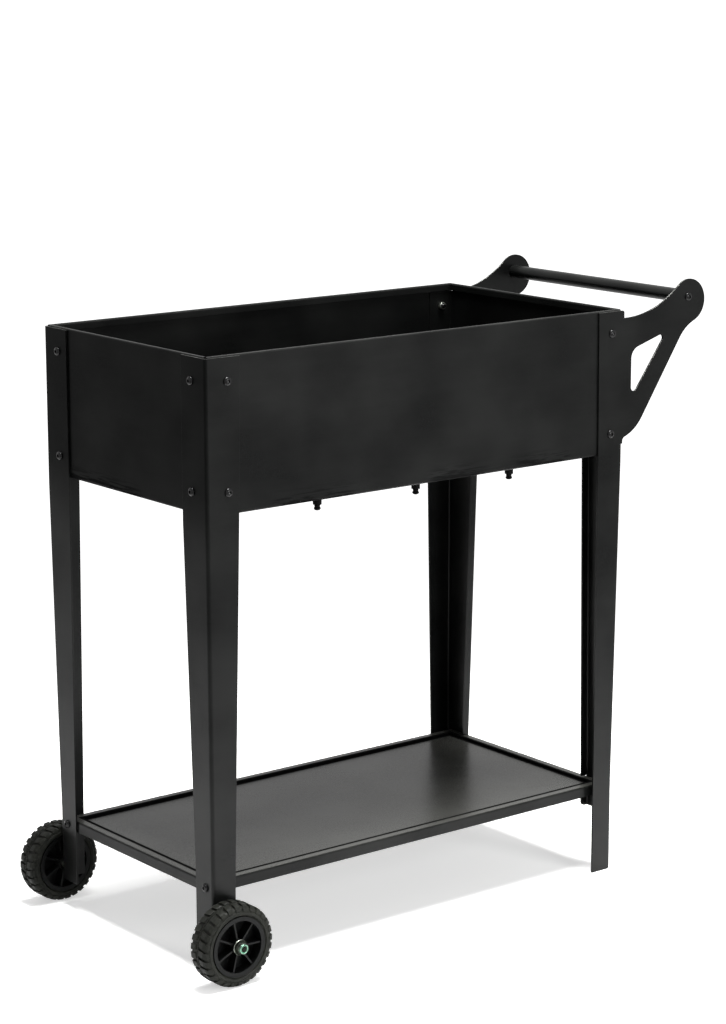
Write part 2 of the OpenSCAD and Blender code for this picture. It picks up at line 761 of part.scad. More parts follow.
panel_front();
panel_back();
panel_wheel_end();
panel_handle_end();
trough_floor();
leg_front_wheel();
leg_back_wheel();
leg_front_handle();
leg_back_handle();
shelf();
handle_tube();
handle_plugs();
handle_bolts();
trough_bolts();
trough_nuts();
shelf_bolts();
shelf_nuts();
hub_front();
hub_back();
tyre_front();
tyre_back();
axle_bolts();
axle_spacers();
axle_washers();
axle_nuts();
axle_lock_rings();
drain_fittings();
drain_gaskets();
drain_nuts();
drain_cap_1();
drain_cap_2();
drain_cap_3();
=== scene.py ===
import bpy
import bmesh
import json
import math
from mathutils import Matrix, Vector


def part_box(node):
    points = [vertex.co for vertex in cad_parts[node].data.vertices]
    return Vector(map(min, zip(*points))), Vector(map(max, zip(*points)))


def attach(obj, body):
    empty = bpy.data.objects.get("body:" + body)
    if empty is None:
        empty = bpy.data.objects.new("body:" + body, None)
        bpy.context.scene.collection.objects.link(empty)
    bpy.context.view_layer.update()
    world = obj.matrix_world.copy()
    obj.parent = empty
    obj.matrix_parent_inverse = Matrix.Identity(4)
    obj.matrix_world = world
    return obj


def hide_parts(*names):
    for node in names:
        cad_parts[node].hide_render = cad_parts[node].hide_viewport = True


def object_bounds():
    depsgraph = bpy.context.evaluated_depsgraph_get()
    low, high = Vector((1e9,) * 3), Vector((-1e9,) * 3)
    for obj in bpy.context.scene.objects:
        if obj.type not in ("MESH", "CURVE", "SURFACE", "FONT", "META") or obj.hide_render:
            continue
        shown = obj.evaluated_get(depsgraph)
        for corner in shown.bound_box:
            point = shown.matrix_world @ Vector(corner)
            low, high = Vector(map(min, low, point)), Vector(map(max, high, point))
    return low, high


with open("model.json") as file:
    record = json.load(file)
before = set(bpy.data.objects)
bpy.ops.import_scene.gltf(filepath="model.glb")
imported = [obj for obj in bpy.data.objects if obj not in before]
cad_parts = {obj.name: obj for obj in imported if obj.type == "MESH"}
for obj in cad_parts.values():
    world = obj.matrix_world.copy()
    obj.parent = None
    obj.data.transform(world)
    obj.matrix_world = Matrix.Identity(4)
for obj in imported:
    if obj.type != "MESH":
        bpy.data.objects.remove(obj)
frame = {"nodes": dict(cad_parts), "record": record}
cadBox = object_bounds()
nodes = frame["nodes"]
scene = bpy.context.scene
print("frame loaded:", len(nodes), "nodes")

cameraSetup = {
    "place": (-2.31487, -2.92826, 1.31892),
    "azimuth": -38.323,      # degrees, 0 looks along +Y
    "elevation": 11.79,
    "roll": -0.048,
    "lens": 97.670,          # mm
    "sensor": 36,            # mm
    "shift": (-0.00967, -0.00929),
    "farthest": 200,
}


def aimCamera(setup):
    a = math.radians(setup["azimuth"])
    e = math.radians(setup["elevation"])
    back = Vector((math.sin(a) * math.cos(e), -math.cos(a) * math.cos(e), math.sin(e)))
    right = Vector((math.cos(a), math.sin(a), 0))
    turn = Matrix((right, back.cross(right), back)).transposed().to_4x4()
    data = bpy.data.cameras.new("photoCamera")
    data.lens = setup["lens"]
    data.sensor_width = setup["sensor"]
    data.sensor_fit = "AUTO"
    data.shift_x, data.shift_y = setup["shift"]
    data.clip_end = setup["farthest"]
    camera = bpy.data.objects.new("photoCamera", data)
    roll = Matrix.Rotation(math.radians(setup["roll"]), 4, "Z")
    camera.matrix_world = Matrix.Translation(setup["place"]) @ turn @ roll
    scene.collection.objects.link(camera)
    scene.camera = camera


def link(tree, a, b):
    tree.links.new(a, b)


def give(tree, value, socket):
    # a plain number or point is set, and what another node puts out is linked
    if isinstance(value, (int, float, tuple)):
        socket.default_value = value
    else:
        link(tree, value, socket)


def addMath(tree, operation, a, b=None, clamp=False):
    made = tree.nodes.new("ShaderNodeMath")
    made.operation = operation
    made.use_clamp = clamp
    give(tree, a, made.inputs[0])
    if b is not None:
        give(tree, b, made.inputs[1])
    return made.outputs[0]


def times(tree, a, b, clamp=False):
    return addMath(tree, "MULTIPLY", a, b, clamp)


def plus(tree, a, b, clamp=False):
    return addMath(tree, "ADD", a, b, clamp)


def minus(tree, a, b):
    return addMath(tree, "SUBTRACT", a, b)


def addVectorMath(tree, operation, a, b=None):
    made = tree.nodes.new("ShaderNodeVectorMath")
    made.operation = operation
    give(tree, a, made.inputs[0])
    if b is not None:
        give(tree, b, made.inputs[1])
    return made.outputs["Value" if operation in ("DOT_PRODUCT", "LENGTH") else "Vector"]


def partOf(tree, vector, letter):
    made = tree.nodes.new("ShaderNodeSeparateXYZ")
    link(tree, vector, made.inputs[0])
    return made.outputs[letter]


def remap(tree, value, low, high, toLow=0.0, toHigh=1.0):
    made = tree.nodes.new("ShaderNodeMapRange")
    for label, number in (("From Min", low), ("From Max", high), ("To Min", toLow), ("To Max", toHigh)):
        give(tree, number, made.inputs[label])
    link(tree, value, made.inputs["Value"])
    return made.outputs["Result"]


def smoothRemap(tree, value, low, high, toLow=0.0, toHigh=1.0):
    made = remap(tree, value, low, high, toLow, toHigh)
    made.node.interpolation_type = "SMOOTHSTEP"
    return made


def addNoise(tree, place, scale, detail, rough):
    made = tree.nodes.new("ShaderNodeTexNoise")
    for label, number in (("Scale", scale), ("Detail", detail), ("Roughness", rough)):
        give(tree, number, made.inputs[label])
    link(tree, place, made.inputs["Vector"])
    return made.outputs["Fac"]


def mixColor(tree, factor, a, b):
    made = tree.nodes.new("ShaderNodeMix")
    made.data_type = "RGBA"
    colors = [s for s in made.inputs if s.type == "RGBA"]
    for socket, value in zip([made.inputs[0]] + colors, (factor, a, b)):
        give(tree, (*value, 1) if isinstance(value, tuple) else value, socket)
    return [s for s in made.outputs if s.type == "RGBA"][0]


stageSetup = {
    "floorColor": (0.90, 0.90, 0.89),
    "floorHalf": 60.0,
    "floorGap": 0.0002,              # below the feet
    "backWay": (0.62, 0.785, 0.0),   # from the camera past the object
    "sideWay": (0.785, -0.62, 0.0),
    "leftLight": 0.0,                # from the room in front of the object, left and right
    "rightLight": 0.27,
    "roomSides": (-0.7, 0.7),
    "backLight": 1.0,                # from the wall behind it
    "wallEdges": (0.45, 0.9),
    "topLight": 0.30,                # from above
    "topEdges": (0.25, 0.9),
    "whiteLevel": 1.0,               # walls and paper as they are seen, also in reflections
    "leftFloor": 0.50,               # the floor beside the paper, as it is seen
    "rightFloor": 0.75,
    "floorSides": (-1.5, 1.5),
    "sweepHalf": (1.0, 2.0),         # the white paper on the floor and its soft edge, metres
    "sweepSpread": 0.5,              # how much wider it gets for each metre behind the object
    "sweepFront": (-1.2, -0.6),
    "nearLevel": 0.50,               # close round the object, where its shadow falls
    "nearReach": (0.35, 1.1),
    "farReach": (5.0, 16.0),         # where the floor turns as white as the walls
    "lamps": [
        # name, place, aimed at, width, height, watts, spread in degrees
        ("topSoftbox", (0.0, -0.25, 2.1), (0.0, -0.15, 0.0), 1.2, 1.0, 21, 60),
        ("frontSoftbox", (0.6, -2.9, 1.2), (0.0, 0.0, 0.4), 1.2, 1.2, 12, 90),
    ],
}


def addSeenRays(tree):
    # 1 for the camera and for what is mirrored or seen through, 0 for the light on the object
    paths = tree.nodes.new("ShaderNodeLightPath")
    seen = plus(tree, paths.outputs["Is Camera Ray"], paths.outputs["Is Glossy Ray"])
    return plus(tree, seen, paths.outputs["Is Transmission Ray"], True)


def buildWorld(setup):
    world = bpy.data.worlds.new("studio")
    scene.world = world
    world.use_nodes = True
    tree = world.node_tree
    tree.nodes.clear()
    out = tree.nodes.new("ShaderNodeOutputWorld")
    sky = tree.nodes.new("ShaderNodeBackground")
    sky.inputs["Color"].default_value = (1, 1, 1, 1)
    where = tree.nodes.new("ShaderNodeTexCoord").outputs["Generated"]
    facing = addVectorMath(tree, "DOT_PRODUCT", where, setup["backWay"])
    beside = addVectorMath(tree, "DOT_PRODUCT", where, setup["sideWay"])
    room = smoothRemap(tree, beside, *setup["roomSides"], setup["leftLight"], setup["rightLight"])
    walls = smoothRemap(tree, facing, *setup["wallEdges"], room, setup["backLight"])
    light = smoothRemap(tree, partOf(tree, where, "Z"), *setup["topEdges"], walls, setup["topLight"])
    level = remap(tree, addSeenRays(tree), 0.0, 1.0, light, setup["whiteLevel"])
    link(tree, level, sky.inputs["Strength"])
    link(tree, sky.outputs[0], out.inputs["Surface"])


def addFloorLevel(tree, setup):
    # white paper runs under the object to the wall, and close to the object it keeps the shadow
    place = tree.nodes.new("ShaderNodeNewGeometry").outputs["Position"]
    beside = addVectorMath(tree, "DOT_PRODUCT", place, setup["sideWay"])
    along = addVectorMath(tree, "DOT_PRODUCT", place, setup["backWay"])
    wider = times(tree, addMath(tree, "MAXIMUM", along, 0.0), setup["sweepSpread"])
    across = minus(tree, addMath(tree, "ABSOLUTE", beside), wider)
    paper = times(tree, smoothRemap(tree, across, *setup["sweepHalf"], 1.0, 0.0),
        smoothRemap(tree, along, *setup["sweepFront"]))
    room = smoothRemap(tree, beside, *setup["floorSides"], setup["leftFloor"], setup["rightFloor"])
    level = remap(tree, paper, 0.0, 1.0, room, setup["whiteLevel"])
    reach = addVectorMath(tree, "LENGTH", place)
    level = smoothRemap(tree, reach, *setup["farReach"], level, setup["whiteLevel"])
    near = smoothRemap(tree, reach, *setup["nearReach"], setup["nearLevel"], 1.0)
    return times(tree, times(tree, level, near), addSeenRays(tree))


def buildFloor(setup):
    half = setup["floorHalf"]
    mesh = bpy.data.meshes.new("studioFloor")
    corners = [(-half, -half, 0), (half, -half, 0), (half, half, 0), (-half, half, 0)]
    mesh.from_pydata(corners, [], [(0, 1, 2, 3)])
    floor = bpy.data.objects.new("studioFloor", mesh)
    scene.collection.objects.link(floor)
    floor.location.z = cadBox[0][2] - setup["floorGap"]
    material = bpy.data.materials.new("paleFloor")
    material.use_nodes = True
    tree = material.node_tree
    tree.nodes.clear()
    out = tree.nodes.new("ShaderNodeOutputMaterial")
    paint = tree.nodes.new("ShaderNodeBsdfDiffuse")
    paint.inputs["Color"].default_value = (*setup["floorColor"], 1)
    glow = tree.nodes.new("ShaderNodeEmission")
    link(tree, addFloorLevel(tree, setup), glow.inputs["Strength"])
    both = tree.nodes.new("ShaderNodeAddShader")
    link(tree, paint.outputs[0], both.inputs[0])
    link(tree, glow.outputs[0], both.inputs[1])
    link(tree, both.outputs[0], out.inputs["Surface"])
    mesh.materials.append(material)


def buildLamps(setup):
    for name, place, target, width, height, watts, spread in setup["lamps"]:
        data = bpy.data.lights.new(name, "AREA")
        data.shape = "RECTANGLE"
        data.size = width
        data.size_y = height
        data.energy = watts
        data.spread = math.radians(spread)
        lamp = bpy.data.objects.new(name, data)
        lamp.location = place
        lamp.rotation_euler = (Vector(target) - Vector(place)).to_track_quat("-Z", "Y").to_euler()
        scene.collection.objects.link(lamp)


aimCamera(cameraSetup)
buildWorld(stageSetup)
buildFloor(stageSetup)
buildLamps(stageSetup)
scene.view_settings.view_transform = "Standard"
print("camera, floor and lamps ready")


def newGroup(name, values, outputs):
    # every group is given the place on the surface, then its own numbers and points
    group = bpy.data.node_groups.new(name, "ShaderNodeTree")
    group.interface.new_socket(name="Place", in_out="INPUT", socket_type="NodeSocketVector")
    for label, value in values.items():
        kind = "NodeSocketVector" if isinstance(value, tuple) else "NodeSocketFloat"
        group.interface.new_socket(name=label, in_out="INPUT", socket_type=kind).default_value = value
    for label in outputs:
        group.interface.new_socket(name=label, in_out="OUTPUT", socket_type="NodeSocketFloat")
    return group, group.nodes.new("NodeGroupInput").outputs, group.nodes.new("NodeGroupOutput").inputs


def surfaceNormal(tree):
    return tree.nodes.new("ShaderNodeNewGeometry").outputs["Normal"]


def softNormal(tree, samples=4):
    made = tree.nodes.new("ShaderNodeBevel")
    made.samples = samples
    return made.inputs["Radius"], made.outputs["Normal"]


grainShape = {
    "noise": (2.0, 0.5),         # detail and roughness
    "speckles": (0.35, 0.70),
}


def buildGrainGroup(shape):
    # the fine pebbled skin of powder coat or moulded plastic
    group, given, out = newGroup("surfaceGrain",
        {"Pebble Scale": 900.0, "Wave Scale": 60.0, "Wave Share": 0.4}, ["Height", "Speckle"])
    fine = addNoise(group, given["Place"], given["Pebble Scale"], *shape["noise"])
    broad = addNoise(group, given["Place"], given["Wave Scale"], *shape["noise"])
    link(group, plus(group, times(group, broad, given["Wave Share"]), fine), out["Height"])
    link(group, smoothRemap(group, fine, *shape["speckles"]), out["Speckle"])
    return group


wearShape = {
    "samples": 6,
    "bend": (0.02, 0.22),        # how far the softened normal leaves the true one at an edge
    "noise": (4.0, 0.6),
    "gaps": (0.38, 0.62),
    "leastWear": 0.25,
}


def buildEdgeGroup(shape):
    # high along sharp edges, broken up by noise
    group, given, out = newGroup("edgeWear", {"Break Scale": 70.0, "Reach": 0.0012}, ["Mask"])
    radius, soft = softNormal(group, shape["samples"])
    link(group, given["Reach"], radius)
    facing = addVectorMath(group, "DOT_PRODUCT", soft, surfaceNormal(group))
    edge = remap(group, minus(group, 1.0, facing), *shape["bend"])
    gaps = addNoise(group, given["Place"], given["Break Scale"], *shape["noise"])
    broken = remap(group, gaps, *shape["gaps"], shape["leastWear"], 1.0)
    link(group, times(group, edge, broken, True), out["Mask"])
    return group


dustShape = {
    "patchNoise": (5.0, 0.62),
    "patches": (0.36, 0.70),
    "patchShare": 0.7,
    "fleckNoise": (3.0, 0.6),
    "flecks": (0.45, 0.75),
    "fleckShare": 0.3,
    "level": (0.80, 0.98),       # the upward part of the normal from where a face counts as flat
}


def buildDustGroup(shape):
    # dust and dried splashes that settle on what faces up
    group, given, out = newGroup("settledDust",
        {"Patch Scale": 9.0, "Fleck Scale": 260.0, "Upward": 0.8}, ["Mask", "Flat"])
    rise = partOf(group, surfaceNormal(group), "Z")
    up = remap(group, rise, 0.0, 1.0, minus(group, 1.0, given["Upward"]), 1.0)
    patches = addNoise(group, given["Place"], given["Patch Scale"], *shape["patchNoise"])
    flecks = addNoise(group, given["Place"], given["Fleck Scale"], *shape["fleckNoise"])
    both = plus(group, times(group, remap(group, patches, *shape["patches"]), shape["patchShare"]),
        times(group, remap(group, flecks, *shape["flecks"]), shape["fleckShare"]))
    link(group, times(group, up, both, True), out["Mask"])
    link(group, smoothRemap(group, rise, *shape["level"]), out["Flat"])
    return group


rubShape = {
    "patchNoise": (2.5, 0.42),
    "patches": (0.28, 0.72),
    "stretch": (1.0, 1.0, 7.0),
    "streakNoise": (5.0, 0.68),
    "streaks": (0.40, 0.80),
}


def addRubs(tree, place, shape, patchScale, streakScale):
    # broad wiped patches and thin streaks that run along the sheets
    broad = addNoise(tree, place, patchScale, *shape["patchNoise"])
    long = addVectorMath(tree, "MULTIPLY", place, shape["stretch"])
    thin = addNoise(tree, long, streakScale, *shape["streakNoise"])
    return remap(tree, broad, *shape["patches"]), remap(tree, thin, *shape["streaks"])


def buildRubGroup(shape):
    group, given, out = newGroup("rubMarks",
        {"Patch Scale": 7.0, "Streak Scale": 9.0}, ["Patches", "Streaks"])
    patches, streaks = addRubs(group, given["Place"], shape, given["Patch Scale"], given["Streak Scale"])
    link(group, patches, out["Patches"])
    link(group, streaks, out["Streaks"])
    return group


ringShape = {
    "groove": (0.35, 1.0),       # shares of the tread depth
}


def buildWheelGroup(shape):
    # rings left by the mould, and a mask of how deep a place lies below the tread
    group, given, out = newGroup("wheelMarks",
        {"Centre": (0.0, 0.0, 0.0), "Ring Pitch": 0.0011, "Outside": 0.054, "Depth": 0.0026},
        ["Rings", "Groove"])
    offset = addVectorMath(group, "SUBTRACT", given["Place"], given["Centre"])
    radius = addVectorMath(group, "LENGTH", addVectorMath(group, "MULTIPLY", offset, (1.0, 0.0, 1.0)))
    count = addMath(group, "DIVIDE", radius, given["Ring Pitch"])
    link(group, addMath(group, "PINGPONG", count, 0.5), out["Rings"])
    sunk = addMath(group, "DIVIDE", minus(group, given["Outside"], radius), given["Depth"])
    link(group, smoothRemap(group, sunk, *shape["groove"]), out["Groove"])
    return group


def buildStainGroup():
    # cloudy stains, such as those of old zinc or the bloom on rubber
    group, given, out = newGroup("cloudyStains",
        {"Scale": 180.0, "Detail": 5.0, "Roughness": 0.6, "Low": 0.35, "High": 0.70}, ["Mask"])
    clouds = addNoise(group, given["Place"], given["Scale"], given["Detail"], given["Roughness"])
    link(group, remap(group, clouds, given["Low"], given["High"]), out["Mask"])
    return group


grainGroup = buildGrainGroup(grainShape)
edgeGroup = buildEdgeGroup(wearShape)
dustGroup = buildDustGroup(dustShape)
rubGroup = buildRubGroup(rubShape)
wheelGroup = buildWheelGroup(ringShape)
stainGroup = buildStainGroup()
print("shader groups ready")


def useGroup(tree, group, place, values):
    made = tree.nodes.new("ShaderNodeGroup")
    made.node_tree = group
    link(tree, place, made.inputs["Place"])
    for label, value in values.items():
        made.inputs[label].default_value = value
    return made.outputs


def startMaterial(name):
    material = bpy.data.materials.new(name)
    material.use_nodes = True
    tree = material.node_tree
    tree.nodes.clear()
    out = tree.nodes.new("ShaderNodeOutputMaterial")
    skin = tree.nodes.new("ShaderNodeBsdfPrincipled")
    link(tree, skin.outputs[0], out.inputs["Surface"])
    return material, tree, skin, tree.nodes.new("ShaderNodeTexCoord").outputs["Object"]


def addBump(tree, skin, height, look):
    # strength, height in metres and the radius that softens the edges
    strength, distance, softRadius = look["bump"]
    bump = tree.nodes.new("ShaderNodeBump")
    bump.inputs["Strength"].default_value = strength
    bump.inputs["Distance"].default_value = distance
    link(tree, height, bump.inputs["Height"])
    radius, soft = softNormal(tree)
    radius.default_value = softRadius
    link(tree, soft, bump.inputs["Normal"])
    link(tree, bump.outputs["Normal"], skin.inputs["Normal"])


def speckledRoughness(tree, skin, grain, look):
    link(tree, remap(tree, grain["Speckle"], 0.0, 1.0, *look["roughness"]), skin.inputs["Roughness"])


coatLook = {
    "color": (0.0064, 0.0068, 0.0065),
    "deepColor": (0.0024, 0.0026, 0.0026),
    "cloudShares": (0.82, 0.18),         # wiped patches and streaks between the two colors
    "wornColor": (0.10, 0.10, 0.10),
    "wearAmount": 0.14,
    "dustColor": (0.13, 0.13, 0.118),
    "dustAmount": 0.10,
    "roughness": (0.27, 0.40),
    "roughShares": (0.6, 0.12, 0.2),     # patches, streaks and speckles
    "roughSpan": (0.1, 0.9),
    "flatCalm": 0.75,                    # how much less the roughness changes on flat tops
    "dullRoughness": 0.6,
    "shine": 0.112,
    "shineSpan": (0.2, 0.8),
    "shineShares": (0.88, 1.14),
    "grain": {"Pebble Scale": 1500.0, "Wave Scale": 110.0, "Wave Share": 0.5},
    "edges": {"Break Scale": 60.0, "Reach": 0.0006},
    "dust": {"Patch Scale": 7.0, "Fleck Scale": 300.0, "Upward": 0.92},
    "rubs": {"Patch Scale": 10.0, "Streak Scale": 9.0},
    "bump": (0.28, 0.00012, 0.0004),
}

sheenHeights = {"endHeights": (0.50, 0.64), "footHeights": (0.25, 0.52)}     # metres above the floor

legLook = {
    **coatLook,
    **sheenHeights,
    "endDullness": 0.72,
    "footSheen": 0.32,
    "paintedGlintColor": (0.55, 0.55, 0.52),    # painted highlight on edges that face up
    "glintAmount": 0.7,
    "glintEdges": {"Break Scale": 90.0, "Reach": 0.0024},
    "glintRise": (0.25, 0.5),
    "glintTop": (0.93, 0.99),            # level tops glint less
    "glintTopShare": 0.2,
}

panelLook = {
    **coatLook,
    **sheenHeights,
    "endDullness": 0.70,
    "footSheen": 0.0,
    "rubbedColor": (0.0015, 0.0016, 0.0018),
    "rubbedAmount": 0.62,
    "rubbedHeights": (0.606, 0.630),     # just above the underside of the trough
    "rubbedStretch": (1.0, 1.0, 16.0),
    "rubbedStreaks": (19.0, 4.0, 0.6),   # scale, detail and roughness
    "streakSpan": (0.44, 0.54),
    "rubbedPlaces": (6.5, 1.0, 0.5),
    "placeSpan": (0.43, 0.54),
}

shelfLook = {
    **coatLook,
    "deckDust": 0.24,
    "rimDustAndHighlight": 0.12,
    "rimStart": 0.002,
    # painted shade in the step where the rim turns down to the deck
    "shadeLineColor": (0.002, 0.002, 0.0022),
    "shadeLineAmount": 0.95,
    "shadeLineWidth": 0.0062,
    "shadeLineCore": 0.6,
    "deckMiddle": (-0.057, 0.0, 0.0),
    "deckHalf": (0.3256, 0.154),
}


def makeCoat(look, name):
    material, tree, skin, place = startMaterial(name)
    grain = useGroup(tree, grainGroup, place, look["grain"])
    edges = useGroup(tree, edgeGroup, place, look["edges"])
    dust = useGroup(tree, dustGroup, place, look["dust"])
    rubs = useGroup(tree, rubGroup, place, look["rubs"])
    patches, streaks = look["cloudShares"]
    clouds = plus(tree, times(tree, rubs["Patches"], patches), times(tree, rubs["Streaks"], streaks))
    base = mixColor(tree, clouds, look["deepColor"], look["color"])
    rubsAndShadeLine = None
    if "rubbedColor" in look:
        rubsAndShadeLine = addRubbedEdge(tree, place, look)
        base = mixColor(tree, rubsAndShadeLine, base, look["rubbedColor"])
    base = mixColor(tree, times(tree, edges["Mask"], look["wearAmount"]), base, look["wornColor"])
    # painted highlight on the edges of the sheet that face up
    if "paintedGlintColor" in look:
        base = mixColor(tree, addPaintedEdgeGlint(tree, place, look), base, look["paintedGlintColor"])
    settled = times(tree, dust["Mask"], look["dustAmount"])
    if "deckDust" in look:
        settled = plus(tree, settled, times(tree, dust["Flat"], look["deckDust"]))
    base = mixColor(tree, settled, base, look["dustColor"])
    # painted shade along the step from the rim down to the deck
    if "shadeLineColor" in look:
        rubsAndShadeLine, rim = addDeckShadeLine(tree, place, look)
        # dust and a painted highlight lighten the rim strip round the deck
        rimDustAndHighlight = times(tree, rim, times(tree, dust["Flat"], look["rimDustAndHighlight"]))
        base = mixColor(tree, rimDustAndHighlight, base, look["dustColor"])
        base = mixColor(tree, rubsAndShadeLine, base, look["shadeLineColor"])
    link(tree, base, skin.inputs["Base Color"])
    link(tree, addCoatRoughness(tree, rubs, grain, dust, rubsAndShadeLine, look), skin.inputs["Roughness"])
    link(tree, addCoatShine(tree, place, rubsAndShadeLine, look), skin.inputs["Specular IOR Level"])
    addBump(tree, skin, grain["Height"], look)
    return material


def addCoatShine(tree, place, rubsAndShadeLine, look):
    # the same clouds again from nodes of the material, because no group drives the shine
    patches, streaks = addRubs(tree, place, rubShape, *look["rubs"].values())
    patchShare, streakShare = look["cloudShares"]
    clouds = plus(tree, times(tree, patches, patchShare), times(tree, streaks, streakShare))
    low, high = (look["shine"] * share for share in look["shineShares"])
    shine = remap(tree, clouds, *look["shineSpan"], low, high)
    if "endDullness" in look:
        shine = times(tree, shine, addSheen(tree, place, look))
    # rub marks on the panels and the painted shade line on the shelf take some shine away
    if rubsAndShadeLine:
        shine = times(tree, shine, minus(tree, 1.0, rubsAndShadeLine))
    return shine


def addCoatRoughness(tree, rubs, grain, dust, rubsAndShadeLine, look):
    patches, streaks, speckles = look["roughShares"]
    upright = minus(tree, 1.0, times(tree, dust["Flat"], look["flatCalm"]))
    rough = plus(tree, times(tree, rubs["Patches"], patches), times(tree, rubs["Streaks"], streaks))
    rough = plus(tree, times(tree, rough, upright), times(tree, grain["Speckle"], speckles))
    rough = remap(tree, rough, *look["roughSpan"], *look["roughness"])
    if rubsAndShadeLine:
        rough = plus(tree, rough, times(tree, rubsAndShadeLine, look["dullRoughness"]), True)
    return rough


def addSheen(tree, place, look):
    # faces that look along X are duller beside the trough, and the legs shine more towards the floor
    height = partOf(tree, place, "Z")
    high = smoothRemap(tree, height, *look["endHeights"], 0.0, look["endDullness"])
    low = smoothRemap(tree, height, *look["footHeights"], 1.0 + look["footSheen"], 1.0)
    ends = addMath(tree, "ABSOLUTE", partOf(tree, surfaceNormal(tree), "X"))
    return minus(tree, low, times(tree, ends, high))


def addPaintedEdgeGlint(tree, place, look):
    # painted highlight: bright glints painted along edges of the sheet where they face up
    edges = useGroup(tree, edgeGroup, place, look["glintEdges"])
    rise = partOf(tree, surfaceNormal(tree), "Z")
    rising = smoothRemap(tree, rise, *look["glintRise"])
    level = smoothRemap(tree, rise, *look["glintTop"], 1.0, look["glintTopShare"])
    return times(tree, times(tree, rising, level), times(tree, edges["Mask"], look["glintAmount"]))


def addRubbedEdge(tree, place, look):
    # scuffed streaks in a band, in some places only
    band = smoothRemap(tree, partOf(tree, place, "Z"), *look["rubbedHeights"], 1.0, 0.0)
    long = addVectorMath(tree, "MULTIPLY", place, look["rubbedStretch"])
    streaks = smoothRemap(tree, addNoise(tree, long, *look["rubbedStreaks"]), *look["streakSpan"])
    where = smoothRemap(tree, addNoise(tree, place, *look["rubbedPlaces"]), *look["placeSpan"])
    return times(tree, times(tree, times(tree, band, streaks), where), look["rubbedAmount"])


def addDeckShadeLine(tree, place, look):
    # painted shade: a fine dark line where the rim of the shelf turns down to its deck, in place of the
    # shadow in that step, and a mask of the rim
    offset = addVectorMath(tree, "ABSOLUTE", addVectorMath(tree, "SUBTRACT", place, look["deckMiddle"]))
    halfX, halfY = look["deckHalf"]
    beyond = addMath(tree, "MAXIMUM", minus(tree, partOf(tree, offset, "X"), halfX),
        minus(tree, partOf(tree, offset, "Y"), halfY))
    width = look["shadeLineWidth"]
    shadeLine = smoothRemap(tree, addMath(tree, "ABSOLUTE", beyond), width * look["shadeLineCore"], width, 1.0, 0.0)
    return times(tree, shadeLine, look["shadeLineAmount"]), smoothRemap(tree, beyond, 0.0, look["rimStart"])


screwLook = {
    "color": (0.0030, 0.0030, 0.0032),
    "wornColor": (0.16, 0.16, 0.15),
    "wearAmount": 0.16,
    "roughness": (0.08, 0.17),
    "shine": 0.22,
    "grain": {"Pebble Scale": 2600.0, "Wave Scale": 400.0, "Wave Share": 0.6},
    "edges": {"Break Scale": 400.0, "Reach": 0.0004},
    "bump": (0.25, 0.00006, 0.0003),
}


def makeScrewBlack(look):
    material, tree, skin, place = startMaterial("blackenedScrew")
    grain = useGroup(tree, grainGroup, place, look["grain"])
    edges = useGroup(tree, edgeGroup, place, look["edges"])
    base = mixColor(tree, times(tree, edges["Mask"], look["wearAmount"]), look["color"], look["wornColor"])
    link(tree, base, skin.inputs["Base Color"])
    speckledRoughness(tree, skin, grain, look)
    skin.inputs["Specular IOR Level"].default_value = look["shine"]
    addBump(tree, skin, grain["Height"], look)
    return material


zincLook = {
    "color": (0.55, 0.58, 0.52),
    "dullColor": (0.30, 0.32, 0.28),
    "roughness": (0.22, 0.46),
    "stains": {"Scale": 180.0, "Detail": 5.0, "Low": 0.35, "High": 0.70},
    "grain": {"Pebble Scale": 3000.0, "Wave Scale": 260.0, "Wave Share": 0.8},
    "bump": (0.2, 0.00005, 0.0003),
}

collarLook = {
    **zincLook,
    "color": (0.30, 0.50, 0.38),
    "dullColor": (0.16, 0.28, 0.21),
    "roughness": (0.18, 0.36),
}

# painted reflections: flat faces painted dark and round sides painted bright, by the way they face
zincPaintedReflectionLook = {
    **zincLook,
    "color": (0.010, 0.012, 0.009),
    "dullColor": (0.004, 0.005, 0.004),
    "paintedSideHighlight": (0.64, 0.68, 0.60),     # painted reflection: bright round sides, with the flat faces painted dark
    "paintedSideSpan": (0.6, 0.8),
    "roughness": (0.22, 0.42),
}


def makeZinc(look, name):
    material, tree, skin, place = startMaterial(name)
    grain = useGroup(tree, grainGroup, place, look["grain"])
    stains = useGroup(tree, stainGroup, place, look["stains"])["Mask"]
    base = mixColor(tree, stains, look["color"], look["dullColor"])
    # painted reflection: the round sides are painted bright by the way the surface faces
    if "paintedSideHighlight" in look:
        outward = addMath(tree, "ABSOLUTE", partOf(tree, surfaceNormal(tree), "Y"))
        paintedSide = smoothRemap(tree, outward, *look["paintedSideSpan"], 1.0, 0.0)
        base = mixColor(tree, paintedSide, base, look["paintedSideHighlight"])
    link(tree, base, skin.inputs["Base Color"])
    skin.inputs["Metallic"].default_value = 1.0
    link(tree, remap(tree, stains, 0.0, 1.0, *look["roughness"]), skin.inputs["Roughness"])
    addBump(tree, skin, grain["Height"], look)
    return material


plasticLook = {
    "color": (0.0020, 0.0021, 0.0022),
    "scuffColor": (0.05, 0.05, 0.047),
    "scuffs": 0.05,
    "dustAmount": 0.02,
    "roughness": (0.34, 0.50),
    "shine": 0.05,
    "grain": {"Pebble Scale": 1900.0, "Wave Scale": 180.0, "Wave Share": 0.3},
    "edges": {"Break Scale": 220.0, "Reach": 0.0007},
    "dust": {"Patch Scale": 40.0, "Fleck Scale": 700.0, "Upward": 0.4},
    "bump": (0.3, 0.00009, 0.0005),
}

wheelCentre = (-0.391, 0.0, 0.054)       # on the line of both axles

